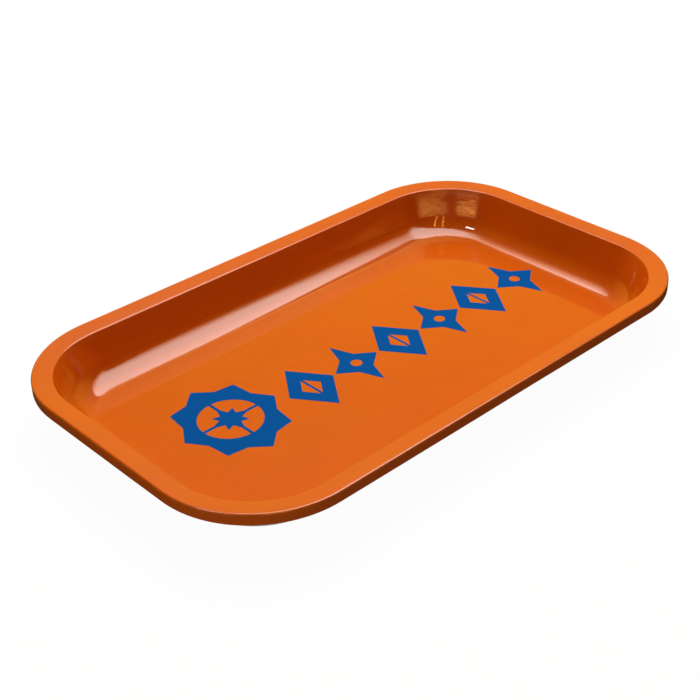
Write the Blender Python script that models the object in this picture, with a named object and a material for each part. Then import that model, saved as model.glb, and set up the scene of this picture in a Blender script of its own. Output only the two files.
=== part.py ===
"""Promotional serving tray: one pressed sheet of lacquered tinplate with a printed frieze.

Metres, +Z up. The origin is the middle of the flat underside, +X runs along the long
side, and the print is read with +Y at the top.
"""

import math

import bmesh
import bpy

# The pressed sheet
TRAY_LENGTH = 0.270  # outside the lip
TRAY_WIDTH = 0.1612
CORNER_RADIUS = 0.0447  # outside the lip, in plan
SHEET = 0.0004  # tinplate
WELL_DEPTH = 0.0211  # rim's highest line to floor top
COVE_RADIUS = 0.012  # hollow curve from floor to wall, on the show face
WALL_ANGLE = math.radians(70)  # wall above the horizontal
BROW_RADIUS = 0.0008  # bend from wall to rim, on the show face
RIM_SLOPE = math.radians(6)  # the rim climbs outwards by this much
RIM_WIDTH = 0.0081  # outside of the lip to where the brow starts, level
EDGE_RADIUS = 0.0008  # bend from rim to lip, on the show face
LIP_DEPTH = 0.0050  # rim's highest line to the lowest point of the lip
CURL_RADIUS = 0.0006  # raw edge rolled back under the rim, outside radius
HEM_LENGTH = 0.0005  # straight end of the rolled edge
CORNER_STEPS = 10  # facets round one corner in plan
COVE_STEPS = 8
BEND_STEPS = 4
CURL_STEPS = 6

# The print, whose pieces of ink never touch each other
INK = 0.0002
INK_CLEARANCE = 0.0003  # between the ink and the sheet's show face
MEDALLION_WIDTH = 0.0470
MEDALLION_HEIGHT = 0.0533
MEDALLION_Y = 0.0053
MEDALLION_MARGIN = 0.0154  # floor's end to the medallion
MEDALLION_TIPS = 8
MEDALLION_VALLEY = 0.82  # valley against tip, both from the centre
EYE_RADIUS = 0.0138  # round window in the medallion
HUB_RADIUS = 0.0078  # eight-pointed hub in the window
HUB_VALLEY = 0.62
SPOKE_WIDTH = 0.0015
WINDOW_STEPS = 8
MOTIF_COUNT = 6
MOTIF_Y = -0.0007
MOTIF_HEIGHT = 0.0346
MOTIF_START = 0.0030  # medallion to the first small motif
MOTIF_SPACE = 0.0014  # between neighbours
MOTIF_MARGIN = 0.0012  # last small motif to the floor's end
LOZENGE_WINDOW = 0.42  # window against outline
HAIRLINE = 0.0012  # upright across the window
STAR_WAIST = 0.0064  # half the upright blade's width at its middle
STAR_ARM = 0.0094  # half the cross blade's height at its middle
STAR_EYE = 0.0026
EYE_STEPS = 16

COVE_RISE = COVE_RADIUS * (1 - math.cos(WALL_ANGLE))
COVE_RUN = COVE_RADIUS * math.sin(WALL_ANGLE)
BROW_RISE = BROW_RADIUS * (math.cos(RIM_SLOPE) - math.cos(WALL_ANGLE))
BROW_RUN = BROW_RADIUS * (math.sin(WALL_ANGLE) - math.sin(RIM_SLOPE))
RIM_FLAT = (RIM_WIDTH - EDGE_RADIUS * (1 + math.sin(RIM_SLOPE))) / math.cos(RIM_SLOPE)
RIM_RISE = RIM_FLAT * math.sin(RIM_SLOPE) + EDGE_RADIUS * (1 - math.cos(RIM_SLOPE))
WALL_LENGTH = (WELL_DEPTH - COVE_RISE - BROW_RISE - RIM_RISE) / math.sin(WALL_ANGLE)
FLOOR_INSET = RIM_WIDTH + BROW_RUN + COVE_RUN + WALL_LENGTH * math.cos(WALL_ANGLE)
FLOOR_END = TRAY_LENGTH / 2 - FLOOR_INSET
MEDALLION_X = -FLOOR_END + MEDALLION_MARGIN + MEDALLION_WIDTH / 2
ROW_START = MEDALLION_X + MEDALLION_WIDTH / 2 + MOTIF_START
ROW_LENGTH = FLOOR_END - MOTIF_MARGIN - ROW_START
MOTIF_WIDTH = (ROW_LENGTH - (MOTIF_COUNT - 1) * MOTIF_SPACE) / MOTIF_COUNT


def clear_scene():
    for thing in list(bpy.data.objects):
        bpy.data.objects.remove(thing, do_unlink=True)


def make_material(name, colour, roughness, metallic):
    material = bpy.data.materials.new(name)
    material.use_nodes = True
    shader = material.node_tree.nodes["Principled BSDF"]
    shader.inputs["Base Color"].default_value = colour
    shader.inputs["Roughness"].default_value = roughness
    shader.inputs["Metallic"].default_value = metallic
    return material


# Tray pan: floor, cove, wall, rim, lip and rolled edge are one sheet


def sheet_section():
    """Stations along the sheet's show face, from the floor's edge outwards.

    Each is (run outwards, height, show-face normal as a pair)."""
    stations = []
    run, height, heading = 0.0, SHEET, 0.0

    def station():
        stations.append((run, height, (-math.sin(heading), math.cos(heading))))

    def ahead(distance):
        nonlocal run, height
        run += distance * math.cos(heading)
        height += distance * math.sin(heading)
        station()

    def bend(radius, angle, steps):
        """Turns by the angle, upwards where it is positive."""
        nonlocal run, height, heading
        side = math.copysign(radius, angle)
        centre_run = run - side * math.sin(heading)
        centre_height = height + side * math.cos(heading)
        for _ in range(steps):
            heading += angle / steps
            run = centre_run + side * math.sin(heading)
            height = centre_height - side * math.cos(heading)
            station()

    station()
    bend(COVE_RADIUS, WALL_ANGLE, COVE_STEPS)
    ahead(WALL_LENGTH)
    bend(BROW_RADIUS, RIM_SLOPE - WALL_ANGLE, BEND_STEPS)
    ahead(RIM_FLAT)
    bend(EDGE_RADIUS, -math.pi / 2 - RIM_SLOPE, BEND_STEPS)
    ahead(LIP_DEPTH - EDGE_RADIUS - CURL_RADIUS)
    bend(CURL_RADIUS, -math.pi, CURL_STEPS)
    ahead(HEM_LENGTH)
    return stations


def plan_ring(mesh, inset, height):
    """Rounded rectangle at this inset from the outside of the lip."""
    radius = CORNER_RADIUS - inset
    centre_x = TRAY_LENGTH / 2 - CORNER_RADIUS
    centre_y = TRAY_WIDTH / 2 - CORNER_RADIUS
    ring = []
    for corner, (side_x, side_y) in enumerate(((1, 1), (-1, 1), (-1, -1), (1, -1))):
        for step in range(CORNER_STEPS + 1):
            angle = math.pi / 2 * (corner + step / CORNER_STEPS)
            x = side_x * centre_x + radius * math.cos(angle)
            y = side_y * centre_y + radius * math.sin(angle)
            ring.append(mesh.verts.new((x, y, height)))
    return ring


def join_rings(mesh, inner, outer):
    """Faces between two rings, whose fronts are on the show face."""
    count = len(inner)
    for i in range(count):
        after = (i + 1) % count
        mesh.faces.new((inner[i], outer[i], outer[after], inner[after]))


def make_pan(material):
    mesh = bmesh.new()
    show = []
    back = []
    for run, height, normal in sheet_section():
        inset = FLOOR_INSET - run
        show.append(plan_ring(mesh, inset, height))
        back.append(plan_ring(mesh, inset + SHEET * normal[0], height - SHEET * normal[1]))
    for inner, outer in zip(show, show[1:]):
        join_rings(mesh, inner, outer)
    for inner, outer in zip(back, back[1:]):
        join_rings(mesh, outer, inner)
    join_rings(mesh, show[-1], back[-1])
    mesh.faces.new(show[0])
    mesh.faces.new(reversed(back[0]))
    data = bpy.data.meshes.new("tray_pan")
    mesh.to_mesh(data)
    mesh.free()
    data.shade_smooth()
    data.set_sharp_from_angle(angle=math.radians(35))
    data.materials.append(material)
    pan = bpy.data.objects.new("tray_pan", data)
    bpy.context.scene.collection.objects.link(pan)
    return pan


# Print: flat pieces of ink on the floor


def make_ink(name, x, y, outlines, material):
    """Film of ink in the shape of the first outline, with the others as windows."""
    curve = bpy.data.curves.new(name, "CURVE")
    curve.dimensions = "2D"
    curve.fill_mode = "BOTH"
    curve.extrude = INK / 2
    for outline in outlines:
        spline = curve.splines.new("POLY")
        spline.points.add(len(outline) - 1)
        for point, (across, up) in zip(spline.points, outline):
            point.co = (across, up, 0.0, 1.0)
        spline.use_cyclic_u = True
    curve.materials.append(material)
    ink = bpy.data.objects.new(name, curve)
    ink.location = (x, y, SHEET + INK_CLEARANCE + INK / 2)
    bpy.context.scene.collection.objects.link(ink)
    return ink


def star_outline(half_width, half_height, tips, valley):
    """Star whose valleys lie at this share of its tips' distance."""
    outline = []
    for i in range(2 * tips):
        angle = math.pi * i / tips
        share = 1.0 if i % 2 == 0 else valley
        outline.append((half_width * share * math.cos(angle), half_height * share * math.sin(angle)))
    return outline


def quarter_window(quarter):
    """Opening between two spokes, from the hub's star out to the round window's edge."""
    start = math.pi / 2 * quarter
    half_spoke = SPOKE_WIDTH / 2
    outline = []
    outer_gap = math.asin(half_spoke / EYE_RADIUS)
    for i in range(WINDOW_STEPS + 1):
        angle = start + outer_gap + (math.pi / 2 - 2 * outer_gap) * i / WINDOW_STEPS
        outline.append((EYE_RADIUS * math.cos(angle), EYE_RADIUS * math.sin(angle)))
    inner_gap = math.asin(half_spoke / HUB_RADIUS)
    for i in range(4, -1, -1):
        share = HUB_VALLEY if i % 2 else 1.0
        angle = start + inner_gap + (math.pi / 2 - 2 * inner_gap) * i / 4
        outline.append((HUB_RADIUS * share * math.cos(angle), HUB_RADIUS * share * math.sin(angle)))
    return outline


def make_medallion(material):
    outlines = [star_outline(MEDALLION_WIDTH / 2, MEDALLION_HEIGHT / 2, MEDALLION_TIPS, MEDALLION_VALLEY)]
    outlines += [quarter_window(quarter) for quarter in range(4)]
    return make_ink("print_medallion", MEDALLION_X, MEDALLION_Y, outlines, material)


def lozenge_outlines():
    """Lozenge with a lozenge window that an upright hairline parts in two."""
    half_width = MOTIF_WIDTH / 2
    half_height = MOTIF_HEIGHT / 2
    outer = [(half_width, 0), (0, half_height), (-half_width, 0), (0, -half_height)]
    near = HAIRLINE / 2
    far = half_width * LOZENGE_WINDOW
    top = half_height * LOZENGE_WINDOW * (1 - near / far)
    right = [(near, -top), (far, 0), (near, top)]
    left = [(-across, up) for across, up in reversed(right)]
    return [outer, right, left]


def star_outlines():
    """Four-pointed star, an upright blade crossed by a level one, with a round eye."""
    half_width = MOTIF_WIDTH / 2
    half_height = MOTIF_HEIGHT / 2
    # where the edges of the two blades cross
    slope_up = half_height / STAR_WAIST
    slope_across = STAR_ARM / half_width
    cross = (half_height - STAR_ARM) / (slope_up - slope_across)
    level = half_height - slope_up * cross
    outline = [
        (half_width, 0), (cross, level), (0, half_height), (-cross, level),
        (-half_width, 0), (-cross, -level), (0, -half_height), (cross, -level),
    ]
    turns = [2 * math.pi * i / EYE_STEPS for i in range(EYE_STEPS)]
    eye = [(STAR_EYE * math.cos(turn), STAR_EYE * math.sin(turn)) for turn in turns]
    return [outline, eye]


def make_motifs(material):
    pitch = MOTIF_WIDTH + MOTIF_SPACE
    for i in range(MOTIF_COUNT):
        x = ROW_START + MOTIF_WIDTH / 2 + i * pitch
        if i % 2 == 0:
            make_ink(f"print_lozenge_{i // 2 + 1}", x, MOTIF_Y, lozenge_outlines(), material)
        else:
            make_ink(f"print_star_{i // 2 + 1}", x, MOTIF_Y, star_outlines(), material)


clear_scene()
make_pan(make_material("orange_lacquer", (0.72, 0.13, 0.014, 1.0), 0.25, 0.0))
blue_ink = make_material("blue_ink", (0.0, 0.09, 0.38, 1.0), 0.4, 0.0)
make_medallion(blue_ink)
make_motifs(blue_ink)
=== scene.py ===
"""A promotional serving tray, pressed from one sheet of tinplate, lacquered and printed."""

import math

import bmesh
import bpy
from mathutils import Matrix, Vector


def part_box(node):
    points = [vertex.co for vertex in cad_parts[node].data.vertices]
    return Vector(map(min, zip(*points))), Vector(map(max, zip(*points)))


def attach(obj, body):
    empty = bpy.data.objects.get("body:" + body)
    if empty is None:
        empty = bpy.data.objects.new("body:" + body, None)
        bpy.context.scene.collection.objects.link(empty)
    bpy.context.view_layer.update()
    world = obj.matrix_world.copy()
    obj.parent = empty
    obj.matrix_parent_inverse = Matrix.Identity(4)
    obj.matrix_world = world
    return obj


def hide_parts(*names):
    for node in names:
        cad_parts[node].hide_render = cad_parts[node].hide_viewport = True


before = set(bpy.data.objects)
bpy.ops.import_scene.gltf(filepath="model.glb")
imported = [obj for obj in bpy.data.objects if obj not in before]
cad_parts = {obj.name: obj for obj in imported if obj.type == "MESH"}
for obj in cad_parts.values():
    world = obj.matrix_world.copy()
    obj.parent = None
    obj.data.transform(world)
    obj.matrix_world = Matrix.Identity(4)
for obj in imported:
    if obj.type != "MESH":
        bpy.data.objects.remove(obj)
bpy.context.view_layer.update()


# ---------------------------------------------------------------------------
# Tray pan: one sheet of 0.4 mm tinplate drawn in a press, so the floor, the hollow
# cove, the steep wall, the rim that climbs outwards and the lip are all the same metal.
# The raw edge is rolled back under the rim, and nothing is soldered or screwed on.

pan_low, pan_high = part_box("tray_pan")
HALF_LENGTH = (pan_high.x - pan_low.x) / 2
HALF_WIDTH = (pan_high.y - pan_low.y) / 2
RIM_TOP = pan_high.z
SHEET = 0.0004
CORNER_RADIUS = 0.0447
COVE_RADIUS = 0.012
WALL_ANGLE = math.radians(70)
BROW_RADIUS = 0.0008
RIM_SLOPE = math.radians(6)
RIM_WIDTH = 0.0081
EDGE_RADIUS = 0.0008
LIP_DEPTH = 0.0050
CURL_RADIUS = 0.0006
HEM_LENGTH = 0.0005
COVE_RISE = COVE_RADIUS * (1 - math.cos(WALL_ANGLE))
COVE_RUN = COVE_RADIUS * math.sin(WALL_ANGLE)
BROW_RISE = BROW_RADIUS * (math.cos(RIM_SLOPE) - math.cos(WALL_ANGLE))
BROW_RUN = BROW_RADIUS * (math.sin(WALL_ANGLE) - math.sin(RIM_SLOPE))
RIM_FLAT = (RIM_WIDTH - EDGE_RADIUS * (1 + math.sin(RIM_SLOPE))) / math.cos(RIM_SLOPE)
RIM_RISE = RIM_FLAT * math.sin(RIM_SLOPE) + EDGE_RADIUS * (1 - math.cos(RIM_SLOPE))
WALL_LENGTH = (RIM_TOP - SHEET - COVE_RISE - BROW_RISE - RIM_RISE) / math.sin(WALL_ANGLE)
FLOOR_INSET = RIM_WIDTH + BROW_RUN + COVE_RUN + WALL_LENGTH * math.cos(WALL_ANGLE)

# Facets round one corner, along a long side and along a short side.
ARC_FACETS = 28
LONG_FACETS = 44
SHORT_FACETS = 18

# Facets across each stretch of the section, from the floor out to the rolled edge.
COVE_STEPS = 28
WALL_STEPS = 5
BROW_STEPS = 8
RIM_STEPS = 4
EDGE_STEPS = 9
LIP_STEPS = 2
CURL_STEPS = 10
HEM_STEPS = 1
FLOOR_BORDER = 0.0012  # flat ring of floor before the cove starts

# Faces of the sheet by finish; the rim's rougher coat starts just under the brow.
WELL_FINISH, BACK_FINISH, RIM_FINISH = 0, 1, 2
RIM_START = COVE_STEPS + WALL_STEPS


def sheet_stations():
    """Walks the show face from the floor out to the rolled edge.

    Each station is (run outwards, height, normal, how much the press makes it wave)."""
    stations = []
    run, height, heading = 0.0, SHEET, 0.0

    def mark(wave):
        stations.append((run, height, (-math.sin(heading), math.cos(heading)), wave))

    def straight(distance, steps, waves):
        nonlocal run, height
        for step in range(steps):
            run += distance / steps * math.cos(heading)
            height += distance / steps * math.sin(heading)
            mark(waves[0] + (waves[1] - waves[0]) * (step + 1) / steps)

    def bend(radius, angle, steps, waves):
        nonlocal run, height, heading
        side = math.copysign(radius, angle)
        centre_run = run - side * math.sin(heading)
        centre_height = height + side * math.cos(heading)
        for step in range(steps):
            heading += angle / steps
            run = centre_run + side * math.sin(heading)
            height = centre_height - side * math.cos(heading)
            mark(waves[0] + (waves[1] - waves[0]) * (step + 1) / steps)

    mark(0.0)
    bend(COVE_RADIUS, WALL_ANGLE, COVE_STEPS, (0.0, 1.0))
    straight(WALL_LENGTH, WALL_STEPS, (1.0, 0.6))
    bend(BROW_RADIUS, RIM_SLOPE - WALL_ANGLE, BROW_STEPS, (0.6, 0.4))
    straight(RIM_FLAT, RIM_STEPS, (0.4, 0.3))
    bend(EDGE_RADIUS, -math.pi / 2 - RIM_SLOPE, EDGE_STEPS, (0.3, 0.4))
    straight(LIP_DEPTH - EDGE_RADIUS - CURL_RADIUS, LIP_STEPS, (0.4, 0.5))
    bend(CURL_RADIUS, -math.pi, CURL_STEPS, (0.5, 0.0))
    straight(HEM_LENGTH, HEM_STEPS, (0.0, 0.0))
    return stations


def plan_points(inset):
    """The rounded rectangle at this inset from the lip.

    Each point is (x, y, outward x, outward y, distance round)."""
    radius = CORNER_RADIUS - inset
    centre_x = HALF_LENGTH - CORNER_RADIUS
    centre_y = HALF_WIDTH - CORNER_RADIUS
    points = []
    around = 0.0
    corners = ((1, 1), (-1, 1), (-1, -1), (1, -1))
    for corner, (side_x, side_y) in enumerate(corners):
        for step in range(ARC_FACETS + 1):
            angle = math.pi / 2 * (corner + step / ARC_FACETS)
            out_x, out_y = math.cos(angle), math.sin(angle)
            if step:
                around += CORNER_RADIUS * math.pi / 2 / ARC_FACETS
            x = side_x * centre_x + radius * out_x
            y = side_y * centre_y + radius * out_y
            points.append((x, y, out_x, out_y, around))
        next_x, next_y = corners[(corner + 1) % 4]
        length = 2 * (centre_x if next_x != side_x else centre_y)
        facets = LONG_FACETS if next_x != side_x else SHORT_FACETS
        start_x, start_y, out_x, out_y, _ = points[-1]
        for step in range(1, facets):
            share = step / facets
            x = start_x + (next_x - side_x) * centre_x * share
            y = start_y + (next_y - side_y) * centre_y * share
            points.append((x, y, out_x, out_y, around + length * share))
        around += length
    return points


ROUND_LENGTH = 4 * (HALF_LENGTH + HALF_WIDTH - 2 * CORNER_RADIUS) + 2 * math.pi * CORNER_RADIUS

# Faint buckles the press leaves round the wall, as (how many, height, turn they start at).
PRESS_WAVES = (
    (5, 0.000050, 0.4),
    (9, 0.000034, 2.1),
    (14, 0.000022, 4.4),
    (23, 0.000012, 1.3),
    (37, 0.000006, 5.2),
)


def press_wave(around, wave):
    """How far the drawn metal stands off its true line here."""
    turn = 2 * math.pi * around / ROUND_LENGTH
    return wave * sum(size * math.sin(count * turn + phase) for count, size, phase in PRESS_WAVES)


def sheet_ring(mesh, inset, height, normal, wave, depth):
    """One loop of points round the tray, this deep under the show face."""
    ring = []
    for x, y, out_x, out_y, around in plan_points(inset):
        push = press_wave(around, wave) - depth
        x += normal[0] * push * out_x
        y += normal[0] * push * out_y
        ring.append(mesh.verts.new((x, y, height + normal[1] * push)))
    return ring


def join_rings(mesh, inner, outer, finish):
    count = len(inner)
    for i in range(count):
        after = (i + 1) % count
        face = mesh.faces.new((inner[i], outer[i], outer[after], inner[after]))
        face.material_index = finish
        face.smooth = True


def press_sheet():
    mesh = bmesh.new()
    show, back = [], []
    flat = (0.0, 1.0)
    show.append(sheet_ring(mesh, FLOOR_INSET + FLOOR_BORDER, SHEET, flat, 0.0, 0.0))
    back.append(sheet_ring(mesh, FLOOR_INSET + FLOOR_BORDER, SHEET, flat, 0.0, SHEET))
    for run, height, normal, wave in sheet_stations():
        show.append(sheet_ring(mesh, FLOOR_INSET - run, height, normal, wave, 0.0))
        back.append(sheet_ring(mesh, FLOOR_INSET - run, height, normal, wave, SHEET))
    for ring, (inner, outer) in enumerate(zip(show, show[1:])):
        join_rings(mesh, inner, outer, RIM_FINISH if ring >= RIM_START else WELL_FINISH)
    for inner, outer in zip(back, back[1:]):
        join_rings(mesh, outer, inner, BACK_FINISH)
    join_rings(mesh, show[-1], back[-1], RIM_FINISH)
    floor = mesh.faces.new(show[0])
    floor.material_index = WELL_FINISH
    underside = mesh.faces.new(reversed(back[0]))
    underside.material_index = BACK_FINISH
    data = bpy.data.meshes.new("pressed_sheet")
    mesh.to_mesh(data)
    mesh.free()
    sheet = bpy.data.objects.new("pressed_sheet", data)
    bpy.context.scene.collection.objects.link(sheet)
    return sheet


def new_finish(name):
    """A fresh material, as (material, nodes, links, shader)."""
    material = bpy.data.materials.new(name)
    material.use_nodes = True
    tree = material.node_tree
    return material, tree.nodes, tree.links, tree.nodes["Principled BSDF"]


def speckle(nodes, links, place, scale, detail, roughness=0.5):
    """Noise in object space; scale is in cells per metre."""
    noise = nodes.new("ShaderNodeTexNoise")
    noise.inputs["Scale"].default_value = scale
    noise.inputs["Detail"].default_value = detail
    noise.inputs["Roughness"].default_value = roughness
    links.new(place, noise.inputs["Vector"])
    return noise.outputs["Fac"]


def spread(nodes, links, source, low, high, to_low, to_high):
    """Maps a value from one range to another, and holds it inside."""
    node = nodes.new("ShaderNodeMapRange")
    node.inputs["From Min"].default_value = low
    node.inputs["From Max"].default_value = high
    node.inputs["To Min"].default_value = to_low
    node.inputs["To Max"].default_value = to_high
    links.new(source, node.inputs["Value"])
    return node.outputs["Result"]


def blend_colours(nodes, links, share, first, second):
    node = nodes.new("ShaderNodeMix")
    node.data_type = "RGBA"
    links.new(share, node.inputs[0])
    for socket, colour in ((node.inputs[6], first), (node.inputs[7], second)):
        if isinstance(colour, tuple):
            socket.default_value = (*colour, 1.0)
        else:
            links.new(colour, socket)
    return node.outputs[2]


def calculate(nodes, links, operation, first, second):
    node = nodes.new("ShaderNodeMath")
    node.operation = operation
    for socket, value in ((node.inputs[0], first), (node.inputs[1], second)):
        if isinstance(value, float):
            socket.default_value = value
        else:
            links.new(value, socket)
    return node.outputs["Value"]


def raise_bumps(nodes, links, height, distance, under=None):
    node = nodes.new("ShaderNodeBump")
    node.inputs["Distance"].default_value = distance
    links.new(height, node.inputs["Height"])
    if under is not None:
        links.new(under, node.inputs["Normal"])
    return node.outputs["Normal"]


def object_place(nodes):
    return nodes.new("ShaderNodeTexCoord").outputs["Object"]


ORANGE = (0.605, 0.095, 0.0004)
ORANGE_THIN = (0.630, 0.105, 0.0006)
ORANGE_DEEP = (0.580, 0.088, 0.0003)
THIN_SHARE = 0.35
ENAMEL_IOR = 1.5
ENAMEL_SHINE = 0.06
VARNISH_IOR = 1.6
ROUGHNESS_SPREAD = 0.03

# Marks in the coats, in cells per metre, and how high they stand, in metres.
COAT_CLOUD = 45.0
COAT_GRAIN = 2600.0
DRAW_MARKS, DRAW_HEIGHT = 2200.0, 0.0000045
DRAW_STRETCH = (0.012, 0.012, 1.0)
PEEL, PEEL_HEIGHT = 380.0, 0.000018
DUST = 1900.0


def orange_lacquer(name, body_roughness, varnish_roughness, dust_height):
    """Stove enamel: orange pigment under a clear varnish that has flowed out with a faint peel."""
    material, nodes, links, shader = new_finish(name)
    place = object_place(nodes)
    cloud = speckle(nodes, links, place, COAT_CLOUD, 3.0)
    cloud = spread(nodes, links, cloud, 0.35, 0.65, 0.0, 1.0)
    grain = speckle(nodes, links, place, COAT_GRAIN, 2.0)
    grain = spread(nodes, links, grain, 0.3, 0.7, 0.0, 1.0)
    shade = blend_colours(nodes, links, cloud, ORANGE_DEEP, ORANGE)
    thin = calculate(nodes, links, "MULTIPLY", grain, THIN_SHARE)
    shade = blend_colours(nodes, links, thin, shade, ORANGE_THIN)
    links.new(shade, shader.inputs["Base Color"])
    smoothest, roughest = body_roughness - ROUGHNESS_SPREAD, body_roughness + ROUGHNESS_SPREAD
    roughness = spread(nodes, links, grain, 0.0, 1.0, smoothest, roughest)
    links.new(roughness, shader.inputs["Roughness"])
    shader.inputs["IOR"].default_value = ENAMEL_IOR
    shader.inputs["Specular IOR Level"].default_value = ENAMEL_SHINE
    shader.inputs["Coat Weight"].default_value = 1.0
    shader.inputs["Coat Roughness"].default_value = varnish_roughness
    shader.inputs["Coat IOR"].default_value = VARNISH_IOR
    draw = nodes.new("ShaderNodeMapping")
    draw.inputs["Scale"].default_value = DRAW_STRETCH
    links.new(place, draw.inputs["Vector"])
    marks = speckle(nodes, links, draw.outputs["Vector"], DRAW_MARKS, 2.0)
    drawn = raise_bumps(nodes, links, marks, DRAW_HEIGHT)
    peel = raise_bumps(nodes, links, speckle(nodes, links, place, PEEL, 2.0), PEEL_HEIGHT, drawn)
    surface = raise_bumps(nodes, links, speckle(nodes, links, place, DUST, 1.0), dust_height, peel)
    links.new(surface, shader.inputs["Normal"])
    links.new(surface, shader.inputs["Coat Normal"])
    return material


TIN_DARK = (0.66, 0.66, 0.655)
TIN_BRIGHT = (0.84, 0.84, 0.83)
TIN_WARM = (0.72, 0.71, 0.69)
TIN_WARM_SHARE = 0.3
MILL_STRETCH = (0.04, 1.0, 1.0)
MILL_GRAIN, MILL_HEIGHT = 2400.0, 0.000006
TIN_CLOUD = 60.0


def bare_tinplate():
    """The back of the sheet: bright tin under a clear size, with the grain of the rolling mill."""
    material, nodes, links, shader = new_finish("bare_tinplate")
    place = object_place(nodes)
    along = nodes.new("ShaderNodeMapping")
    along.inputs["Scale"].default_value = MILL_STRETCH
    links.new(place, along.inputs["Vector"])
    rolled = speckle(nodes, links, along.outputs["Vector"], MILL_GRAIN, 3.0, 0.6)
    cloud = speckle(nodes, links, place, TIN_CLOUD, 3.0)
    shade = blend_colours(nodes, links, rolled, TIN_DARK, TIN_BRIGHT)
    warm = calculate(nodes, links, "MULTIPLY", cloud, TIN_WARM_SHARE)
    shade = blend_colours(nodes, links, warm, shade, TIN_WARM)
    links.new(shade, shader.inputs["Base Color"])
    links.new(spread(nodes, links, rolled, 0.3, 0.7, 0.20, 0.34), shader.inputs["Roughness"])
    shader.inputs["Metallic"].default_value = 1.0
    links.new(raise_bumps(nodes, links, rolled, MILL_HEIGHT), shader.inputs["Normal"])
    return material


pan = press_sheet()
pan.data.materials.append(orange_lacquer("orange_lacquer", 0.30, 0.045, 0.0000032))
pan.data.materials.append(bare_tinplate())
pan.data.materials.append(orange_lacquer("orange_rim_lacquer", 0.38, 0.16, 0.000022))
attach(pan, "root")
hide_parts("tray_pan")


# ---------------------------------------------------------------------------
# Print: seven separate films of blue ink, screened straight onto the lacquered floor.
# The film is a few hundredths of a millimetre thick and dries matt.

INK_FILM = 0.00003
INK_SINK = 0.000005
FLOOR_TOP = pan_low.z + SHEET
SAME_POINT = 0.0000001

INK_BLUE = (0.0, 0.074, 0.312)
INK_DARK = (0.0, 0.072, 0.295)
INK_LIGHT = (0.0, 0.080, 0.322)
INK_CLOUD, INK_CLOUD_SHARE = 120.0, 0.4
SCREEN_WEAVE, WEAVE_HEIGHT = 1800.0, 0.000004
INK_ROUGHNESS = 0.5
INK_SHINE = 0.01


def blue_ink():
    """Flat screen ink: the weave of the screen shows faintly in its shade and its surface."""
    material, nodes, links, shader = new_finish("blue_ink")
    place = object_place(nodes)
    weave = speckle(nodes, links, place, SCREEN_WEAVE, 2.0)
    cloud = speckle(nodes, links, place, INK_CLOUD, 3.0)
    shade = blend_colours(nodes, links, weave, INK_DARK, INK_LIGHT)
    even = calculate(nodes, links, "MULTIPLY", cloud, INK_CLOUD_SHARE)
    shade = blend_colours(nodes, links, even, shade, INK_BLUE)
    links.new(shade, shader.inputs["Base Color"])
    shader.inputs["Roughness"].default_value = INK_ROUGHNESS
    shader.inputs["Specular IOR Level"].default_value = INK_SHINE
    links.new(raise_bumps(nodes, links, weave, WEAVE_HEIGHT), shader.inputs["Normal"])
    return material


def lay_film(node, ink):
    """The outline of the CAD film, thinned and laid on the lacquer."""
    low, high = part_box(node)
    middle = (low.z + high.z) / 2
    mesh = bmesh.new()
    mesh.from_mesh(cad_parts[node].data)
    bmesh.ops.remove_doubles(mesh, verts=mesh.verts, dist=SAME_POINT)
    for point in mesh.verts:
        point.co.z = FLOOR_TOP + INK_FILM if point.co.z > middle else FLOOR_TOP - INK_SINK
    bmesh.ops.dissolve_limit(mesh, angle_limit=math.radians(1), verts=mesh.verts, edges=mesh.edges)
    bmesh.ops.recalc_face_normals(mesh, faces=mesh.faces)
    for face in mesh.faces:
        face.smooth = False
        face.material_index = 0
    data = bpy.data.meshes.new("film_" + node)
    mesh.to_mesh(data)
    mesh.free()
    film = bpy.data.objects.new(node.replace("print_", "film_"), data)
    bpy.context.scene.collection.objects.link(film)
    film.data.materials.append(ink)
    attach(film, "root")
    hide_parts(node)


ink = blue_ink()
for node in sorted(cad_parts):
    if node.startswith("print_"):
        lay_film(node, ink)


# ---------------------------------------------------------------------------
# Camera: on a stand in front of the tray's near left corner, looking down at it.
# It is aimed just short of the tray's middle, level with the inner edge of the rim.

CAMERA_TURN = math.radians(-42.689)
CAMERA_RISE = math.radians(32.116)
CAMERA_ROLL = math.radians(-1.4835)
CAMERA_DISTANCE = 0.53764
CAMERA_LENS = 67.706
CAMERA_GATE = 36.0
CAMERA_AIM = Vector((-0.023674, -0.014978, RIM_TOP - RIM_RISE))

back = Vector((
    math.sin(CAMERA_TURN) * math.cos(CAMERA_RISE),
    -math.cos(CAMERA_TURN) * math.cos(CAMERA_RISE),
    math.sin(CAMERA_RISE),
))
right = Vector((math.cos(CAMERA_TURN), math.sin(CAMERA_TURN), 0.0))
up = back.cross(right)
right_rolled = right * math.cos(CAMERA_ROLL) + up * math.sin(CAMERA_ROLL)
up_rolled = up * math.cos(CAMERA_ROLL) - right * math.sin(CAMERA_ROLL)
camera_data = bpy.data.cameras.new("studio_camera")
camera_data.lens = CAMERA_LENS
camera_data.sensor_width = CAMERA_GATE
camera_data.clip_start = 0.01
camera_data.clip_end = 50.0
camera = bpy.data.objects.new("studio_camera", camera_data)
bpy.context.scene.collection.objects.link(camera)
turned = Matrix((right_rolled, up_rolled, back)).transposed().to_4x4()
camera.matrix_world = Matrix.Translation(CAMERA_AIM + back * CAMERA_DISTANCE) @ turned
bpy.context.scene.camera = camera

away = Vector((-back.x, -back.y, 0.0)).normalized()


# ---------------------------------------------------------------------------
# Lamps: a large overhead softbox that only shows as a reflection, and two soft fills
# that only light the coats. Cloth and card masks on stands shape what the varnish mirrors.

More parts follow.
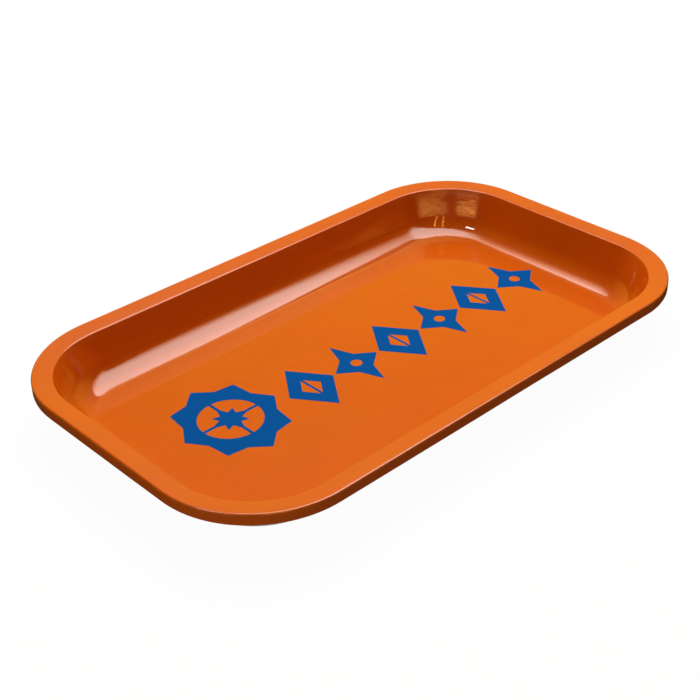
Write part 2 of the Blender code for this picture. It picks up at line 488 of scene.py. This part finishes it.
def hang_light(name, centre, face, across, size, radiance, colour=(1.0, 1.0, 1.0)):
    """A flat lamp that faces along face, with its width along across, in metres."""
    data = bpy.data.lights.new(name, "AREA")
    data.shape = "RECTANGLE"
    data.size, data.size_y = size
    data.energy = radiance * math.pi * size[0] * size[1]
    data.color = colour
    lamp = bpy.data.objects.new(name, data)
    bpy.context.scene.collection.objects.link(lamp)
    back_of = -face.normalized()
    side = (across - back_of * across.dot(back_of)).normalized()
    turn = Matrix((side, back_of.cross(side), back_of)).transposed().to_4x4()
    lamp.matrix_world = Matrix.Translation(centre) @ turn
    return lamp


# Light that comes off the lacquer twice is tinted by it, so the cloth shows golden there.
SECOND_SHINE = (0.75, 0.62, 0.22)
FIRST_BOUNCE, SECOND_BOUNCE = 2.0, 3.0


def cut_cloth(lamp, cuts, edge_colour):
    """Masks the cloth of a softbox with straight cuts.

    Each cut is (across, along, reach, softness): the cloth is lit where
    across * u + along * v is under reach, with u and v running 0 to 1 over the lamp."""
    lamp.data.use_nodes = True
    nodes, links = lamp.data.node_tree.nodes, lamp.data.node_tree.links
    cloth = nodes.new("ShaderNodeNewGeometry").outputs["Parametric"]
    lit = None
    for across, along, reach, softness in cuts:
        lean = nodes.new("ShaderNodeVectorMath")
        lean.operation = "DOT_PRODUCT"
        lean.inputs[1].default_value = (across, along, 0.0)
        links.new(cloth, lean.inputs[0])
        share = spread(nodes, links, lean.outputs["Value"], reach - softness, reach, 1.0, 0.0)
        lit = share if lit is None else calculate(nodes, links, "MULTIPLY", lit, share)
    depth = nodes.new("ShaderNodeLightPath").outputs["Ray Depth"]
    again = spread(nodes, links, depth, FIRST_BOUNCE, SECOND_BOUNCE, 0.0, 1.0)
    cloth_colour = blend_colours(nodes, links, lit, edge_colour, (1.0, 1.0, 1.0))
    links.new(lit, nodes["Emission"].inputs["Strength"])
    shown = blend_colours(nodes, links, again, cloth_colour, SECOND_SHINE)
    links.new(shown, nodes["Emission"].inputs["Color"])


SOFT_LEFT, SOFT_RIGHT = -0.15, 1.20
SOFT_NEAR, SOFT_FAR = -1.50, 0.82
SOFT_HEIGHT = 1.0
SOFT_SIZE = (SOFT_RIGHT - SOFT_LEFT, SOFT_FAR - SOFT_NEAR)
SOFT_RADIANCE = 5.4
SOFT_COLOUR = (1.0, 0.93, 0.84)
SOFT_EDGE_COLOUR = (1.0, 0.62, 0.30)


def cloth_cut(start, end, softness):
    """A cut along the line from start to end, lit on its left, in metres on the softbox plane."""
    run_x, run_y = end[0] - start[0], end[1] - start[1]
    length = math.hypot(run_x, run_y)
    out_x, out_y = run_y / length, -run_x / length
    reach = out_x * (start[0] - SOFT_LEFT) + out_y * (start[1] - SOFT_NEAR)
    return out_x * SOFT_SIZE[0], out_y * SOFT_SIZE[1], reach, softness


soft_middle = Vector(((SOFT_LEFT + SOFT_RIGHT) / 2, (SOFT_NEAR + SOFT_FAR) / 2, SOFT_HEIGHT))
softbox = hang_light("softbox", soft_middle, Vector((0, 0, -1)), Vector((1, 0, 0)),
                     SOFT_SIZE, SOFT_RADIANCE, SOFT_COLOUR)
cut_cloth(softbox, (
    cloth_cut((0.93, 0.10), (0.56, 1.00), 0.02),
    cloth_cut((1.15, -1.30), (1.15, 1.20), 0.40),
    cloth_cut((-0.12, 1.20), (-0.12, -1.40), 0.14),
    cloth_cut((0.65, 1.15), (-0.20, 0.55), 0.38),
    cloth_cut((-0.12, 0.03), (0.60, -1.00), 0.06),
    cloth_cut((-1.0, -1.45), (1.0, -1.45), 0.90),
), SOFT_EDGE_COLOUR)
softbox.visible_diffuse = False

TOP_SIZE, TOP_RADIANCE, TOP_COLOUR = (1.4, 1.0), 5.2, (1.0, 0.97, 0.92)
top_centre = away * 0.70 + right * 0.05 + Vector((0, 0, 1.0))
top_face = Vector((-0.5 * away.x, -0.5 * away.y, -1.0))
topper = hang_light("top_fill", top_centre, top_face, right, TOP_SIZE, TOP_RADIANCE, TOP_COLOUR)
topper.visible_glossy = False

FRONT_SIZE, FRONT_RADIANCE, FRONT_COLOUR = (1.6, 0.5), 1.5, (1.0, 0.96, 0.74)
front_centre = -away * 0.95 - right * 0.35 + Vector((0, 0, 0.45))
front_face = away + right * 0.35 + Vector((0, 0, -0.42))
front = hang_light("front_fill", front_centre, front_face, right, FRONT_SIZE, FRONT_RADIANCE, FRONT_COLOUR)
front.visible_glossy = False


# ---------------------------------------------------------------------------
# Cards and strips: two gold cards show as the window patches in the far corner, two
# amber strips as the thin streaks under them, and a small bright lamp as the glint.

def hang_strip(name, start, end, breadth, radiance, colour):
    """A strip lamp one metre away that only shows as a reflection.

    Its ends are (turn in degrees, height)."""
    ends = []
    for turn, height in (start, end):
        ends.append(Vector((math.cos(math.radians(turn)), math.sin(math.radians(turn)), height)))
    centre = (ends[0] + ends[1]) / 2
    run = ends[1] - ends[0]
    strip = hang_light(name, centre, -centre, run, (run.length, breadth), radiance, colour)
    strip.visible_diffuse = False
    return strip


GOLD = (1.0, 0.46, 0.10)
CARD_BREADTH = 0.10
CARD_WHITE = (1.0, 1.0, 1.0)
CARD_EDGES = (
    (1.0, 0.0, 1.0, 0.18),
    (-1.0, 0.0, 0.0, 0.18),
    (0.0, 1.0, 1.0, 0.34),
    (0.0, -1.0, 0.0, 0.34),
)
for name, start, end, radiance in (
    ("card_right", (-76, 0.17), (-138, 0.25), 4.4),
    ("card_left", (-144, 0.25), (-190, 0.19), 9.5),
):
    cut_cloth(hang_strip(name, start, end, CARD_BREADTH, radiance, GOLD), CARD_EDGES, CARD_WHITE)

AMBER = (1.0, 0.45, 0.05)
AMBER_BREADTH, AMBER_RADIANCE = 0.045, 11.0
hang_strip("strip_first", (-116, 0.31), (-96, 1.60), AMBER_BREADTH, AMBER_RADIANCE, AMBER)
hang_strip("strip_second", (-127, 0.31), (-118, 1.80), AMBER_BREADTH, AMBER_RADIANCE, AMBER)

GLINT_BREADTH, GLINT_RADIANCE, GLINT_COLOUR = 0.16, 26.0, (1.0, 0.97, 0.94)
hang_strip("glint", (166, 1.95), (146, 1.70), GLINT_BREADTH, GLINT_RADIANCE, GLINT_COLOUR)


# ---------------------------------------------------------------------------
# Paper: a sheet of pale studio paper that the tray stands on, laid flat.
# It glows to the camera and lights the coats a little, but the varnish mirrors it dark,
# apart from a strip under the tray that glows to mirrored rays: painted light for the bare tin to mirror,
# where the paper really lies in the tray's shade.

PAPER_WHITE, PAPER_SHADE = 0.96, 0.04
PAPER_DIM = (0.012, 0.010, 0.006, 1.0)
# Painted light: the glow that mirrored rays see on the paper under the tray, where the paper is really in
# shade.
PAPER_SHINE = (0.40, 0.39, 0.37, 1.0)
PAPER_BOUNCE = (0.32, 0.31, 0.28, 1.0)
UNDER_START, UNDER_END = 0.012, 0.001  # in from the lip
PAPER_HALF = 4.0
PAPER_GAP = 0.00005




def studio_paper():
    material, nodes, links, shader = new_finish("studio_paper")
    nodes.remove(shader)
    out = nodes["Material Output"]
    path = nodes.new("ShaderNodeLightPath")
    paper = nodes.new("ShaderNodeBsdfDiffuse")
    paper.inputs["Color"].default_value = (PAPER_SHADE, PAPER_SHADE, PAPER_SHADE, 1.0)
    glow = nodes.new("ShaderNodeEmission")
    glow.inputs["Color"].default_value = (PAPER_WHITE, PAPER_WHITE, PAPER_WHITE, 1.0)
    pale = nodes.new("ShaderNodeAddShader")
    links.new(paper.outputs[0], pale.inputs[0])
    links.new(glow.outputs[0], pale.inputs[1])
    dim = nodes.new("ShaderNodeBsdfDiffuse")
    dim.inputs["Color"].default_value = PAPER_DIM
    shine = nodes.new("ShaderNodeEmission")
    shine.inputs["Color"].default_value = PAPER_SHINE
    # Painted light: mask of the strip under the tray, which glows to mirrored rays instead of lying in the
    # tray's shade.
    apart = nodes.new("ShaderNodeSeparateXYZ")
    links.new(object_place(nodes), apart.inputs["Vector"])
    along = calculate(nodes, links, "ABSOLUTE", apart.outputs["X"], 0.0)
    across = calculate(nodes, links, "ABSOLUTE", apart.outputs["Y"], 0.0)
    along = spread(nodes, links, along, HALF_LENGTH - UNDER_START, HALF_LENGTH - UNDER_END, 1.0, 0.0)
    across = spread(nodes, links, across, HALF_WIDTH - UNDER_START, HALF_WIDTH - UNDER_END, 1.0, 0.0)
    under = calculate(nodes, links, "MULTIPLY", along, across)
    mirrored = nodes.new("ShaderNodeMixShader")
    links.new(under, mirrored.inputs[0])
    links.new(dim.outputs[0], mirrored.inputs[1])
    links.new(shine.outputs[0], mirrored.inputs[2])
    bounce = nodes.new("ShaderNodeEmission")
    bounce.inputs["Color"].default_value = PAPER_BOUNCE
    lift = nodes.new("ShaderNodeMixShader")
    links.new(path.outputs["Is Diffuse Ray"], lift.inputs[0])
    links.new(mirrored.outputs[0], lift.inputs[1])
    links.new(bounce.outputs[0], lift.inputs[2])
    mix = nodes.new("ShaderNodeMixShader")
    links.new(path.outputs["Is Camera Ray"], mix.inputs[0])
    links.new(lift.outputs[0], mix.inputs[1])
    links.new(pale.outputs[0], mix.inputs[2])
    links.new(mix.outputs[0], out.inputs["Surface"])
    return material


paper_mesh = bmesh.new()
bmesh.ops.create_grid(paper_mesh, x_segments=8, y_segments=8, size=PAPER_HALF)
bmesh.ops.translate(paper_mesh, verts=paper_mesh.verts, vec=(0.0, 0.0, pan_low.z - PAPER_GAP))
paper_data = bpy.data.meshes.new("studio_paper")
paper_mesh.to_mesh(paper_data)
paper_mesh.free()
paper = bpy.data.objects.new("studio_paper", paper_data)
bpy.context.scene.collection.objects.link(paper)
paper.data.materials.append(studio_paper())


# ---------------------------------------------------------------------------
# Backdrop: plain and near white to the camera. The varnish mirrors a warm wall behind
# the tray, brightest low down, and a dark room everywhere else.

BACKDROP_WHITE = 0.98
WARM_WALL = (0.90, 0.50, 0.055)
DARK_ROOM = (0.010, 0.007, 0.003)

world = bpy.data.worlds.new("studio")
world.use_nodes = True
bpy.context.scene.world = world
nodes, links = world.node_tree.nodes, world.node_tree.links
skyward = nodes.new("ShaderNodeTexCoord").outputs["Generated"]
facing = nodes.new("ShaderNodeVectorMath")
facing.operation = "DOT_PRODUCT"
facing.inputs[1].default_value = away
links.new(skyward, facing.inputs[0])
lift = nodes.new("ShaderNodeSeparateXYZ")
links.new(skyward, lift.inputs["Vector"])
behind = spread(nodes, links, facing.outputs["Value"], 0.10, 0.45, 0.0, 1.0)
lower = spread(nodes, links, lift.outputs["Z"], 0.48, 0.56, 1.0, 0.62)
top_edge = spread(nodes, links, lift.outputs["Z"], 0.635, 0.66, 1.0, 0.0)
backdrop = calculate(nodes, links, "MULTIPLY", behind, lower)
backdrop = calculate(nodes, links, "MULTIPLY", backdrop, top_edge)
tone = blend_colours(nodes, links, backdrop, DARK_ROOM, WARM_WALL)
seen = nodes.new("ShaderNodeLightPath").outputs["Is Camera Ray"]
tone = blend_colours(nodes, links, seen, tone, (BACKDROP_WHITE, BACKDROP_WHITE, BACKDROP_WHITE))
links.new(tone, nodes["Background"].inputs["Color"])
bpy.context.scene.view_settings.view_transform = "Standard"
